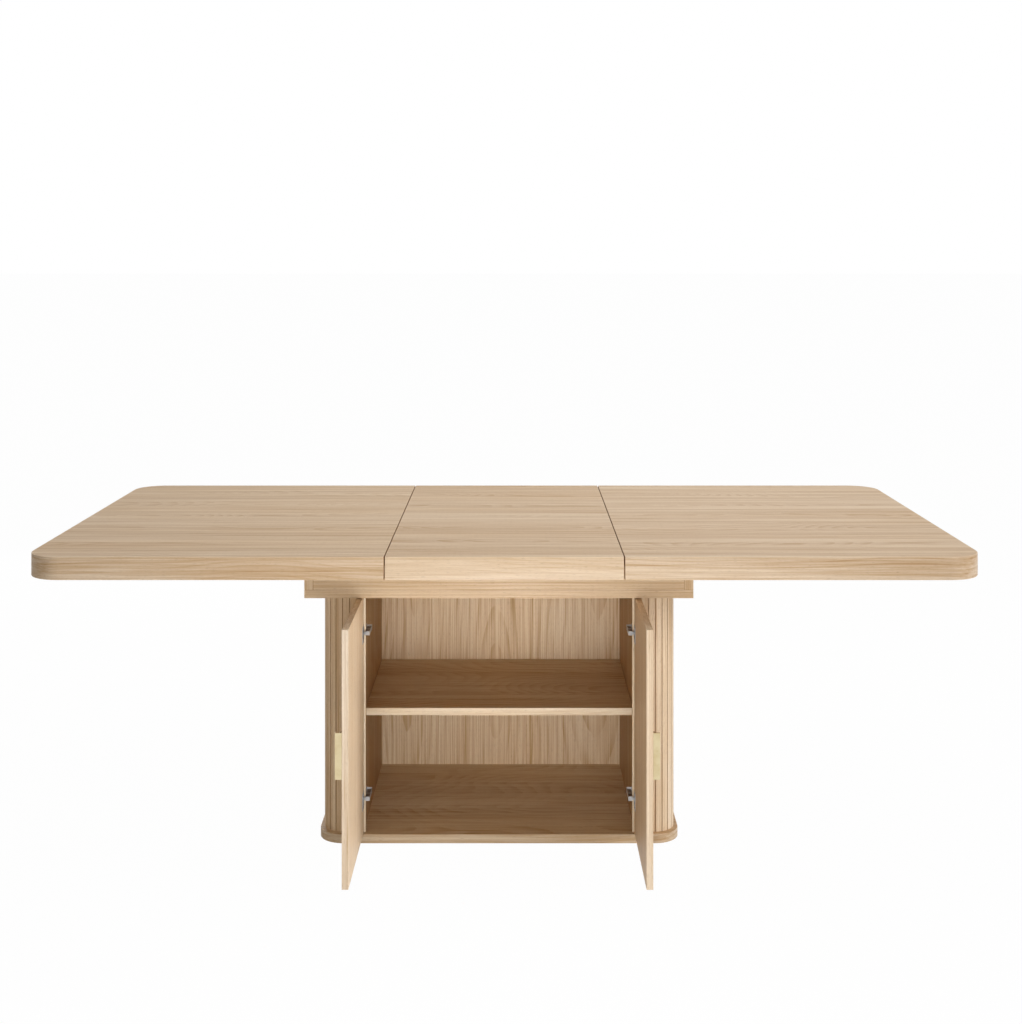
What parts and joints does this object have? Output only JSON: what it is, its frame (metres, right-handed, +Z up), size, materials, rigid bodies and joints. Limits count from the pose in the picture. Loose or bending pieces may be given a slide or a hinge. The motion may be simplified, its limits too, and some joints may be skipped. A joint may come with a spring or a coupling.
{
  "type": "extending table with storage cabinet",
  "caption": "Extending oak table with rounded corners and a drop-in middle leaf, on a fluted cabinet with two hinged doors, a shelf and brass edge pulls.",
  "frame": {"origin": "on the floor, under the middle of the table top", "axes": "+X to the right along the table, +Y to the back (doors face -Y), +Z up"},
  "size_m": [2.2, 1.1595, 0.76],
  "materials": {
    "oak_top": "satin lacquer",
    "oak_edge": "satin lacquer",
    "oak_fluted": "satin lacquer",
    "oak_door": "satin lacquer",
    "oak_inside": "satin lacquer",
    "oak_base": "satin lacquer",
    "oak_box": "satin lacquer",
    "beech": "plain, waxed",
    "brass": "brushed pale brass",
    "hinge_steel": "nickel plated",
    "felt": "pressed felt"
  },
  "bodies": {
    "cabinet": {"back_panel": "oak_inside", "base_plate": "oak_base", "box_floor_board": "oak_box", "box_front_board": "oak_box", "box_left_end": "oak_box", "box_rear_board": "oak_box", "box_right_end": "oak_box", "front_guide_rail": "beech", "glide_front_left": "felt", "glide_front_right": "felt", "glide_middle": "felt", "glide_rear_left": "felt", "glide_rear_right": "felt", "left_fluted_wrap": "oak_fluted", "left_front_shelf_pin": "hinge_steel", "left_lower_hinge_arm": "hinge_steel", "left_lower_rib": "beech", "left_middle_rib": "beech", "left_rear_shelf_pin": "hinge_steel", "left_side_panel": "oak_inside", "left_upper_hinge_arm": "hinge_steel", "left_upper_rib": "beech", "middle_shelf": "oak_inside", "rear_fluted_panel": "oak_fluted", "rear_guide_rail": "beech", "right_fluted_wrap": "oak_fluted", "right_front_shelf_pin": "hinge_steel", "right_lower_hinge_arm": "hinge_steel", "right_lower_rib": "beech", "right_middle_rib": "beech", "right_rear_shelf_pin": "hinge_steel", "right_side_panel": "oak_inside", "right_upper_hinge_arm": "hinge_steel", "right_upper_rib": "beech"},
    "leaf": {"leaf_front_band": "oak_edge", "leaf_left_batten": "beech", "leaf_panel": "oak_top", "leaf_rear_band": "oak_edge", "leaf_right_batten": "beech"},
    "left_door": {"left_door_panel": "oak_door", "left_door_pull": "brass", "left_lower_hinge_cup": "hinge_steel", "left_upper_hinge_cup": "hinge_steel"},
    "left_half": {"left_end_band": "oak_edge", "left_front_band": "oak_edge", "left_front_runner": "beech", "left_rear_band": "oak_edge", "left_rear_runner": "beech", "left_top_panel": "oak_top"},
    "right_door": {"right_door_panel": "oak_door", "right_door_pull": "brass", "right_lower_hinge_cup": "hinge_steel", "right_upper_hinge_cup": "hinge_steel"},
    "right_half": {"right_end_band": "oak_edge", "right_front_band": "oak_edge", "right_front_runner": "beech", "right_rear_band": "oak_edge", "right_rear_runner": "beech", "right_top_panel": "oak_top"}
  },
  "joints": [
    {"name": "left_half_slide", "type": "slide", "parent": "cabinet", "child": "left_half", "axis": [-1, 0, 0], "range_m": [0, 0.04]},
    {"name": "right_half_slide", "type": "slide", "parent": "cabinet", "child": "right_half", "axis": [1, 0, 0], "range_m": [0, 0.04]},
    {"name": "leaf_lift", "type": "slide", "parent": "cabinet", "child": "leaf", "axis": [0, 0, 1], "range_m": [0, 0.3]},
    {"name": "left_door_hinge", "type": "hinge", "parent": "cabinet", "child": "left_door", "pos_m": [-0.357, -0.269, 0.317], "axis": [0, 0, 1], "range_deg": [0, 90]},
    {"name": "right_door_hinge", "type": "hinge", "parent": "cabinet", "child": "right_door", "pos_m": [0.327, -0.269, 0.317], "axis": [0, 0, -1], "range_deg": [0, 90]}
  ]
}
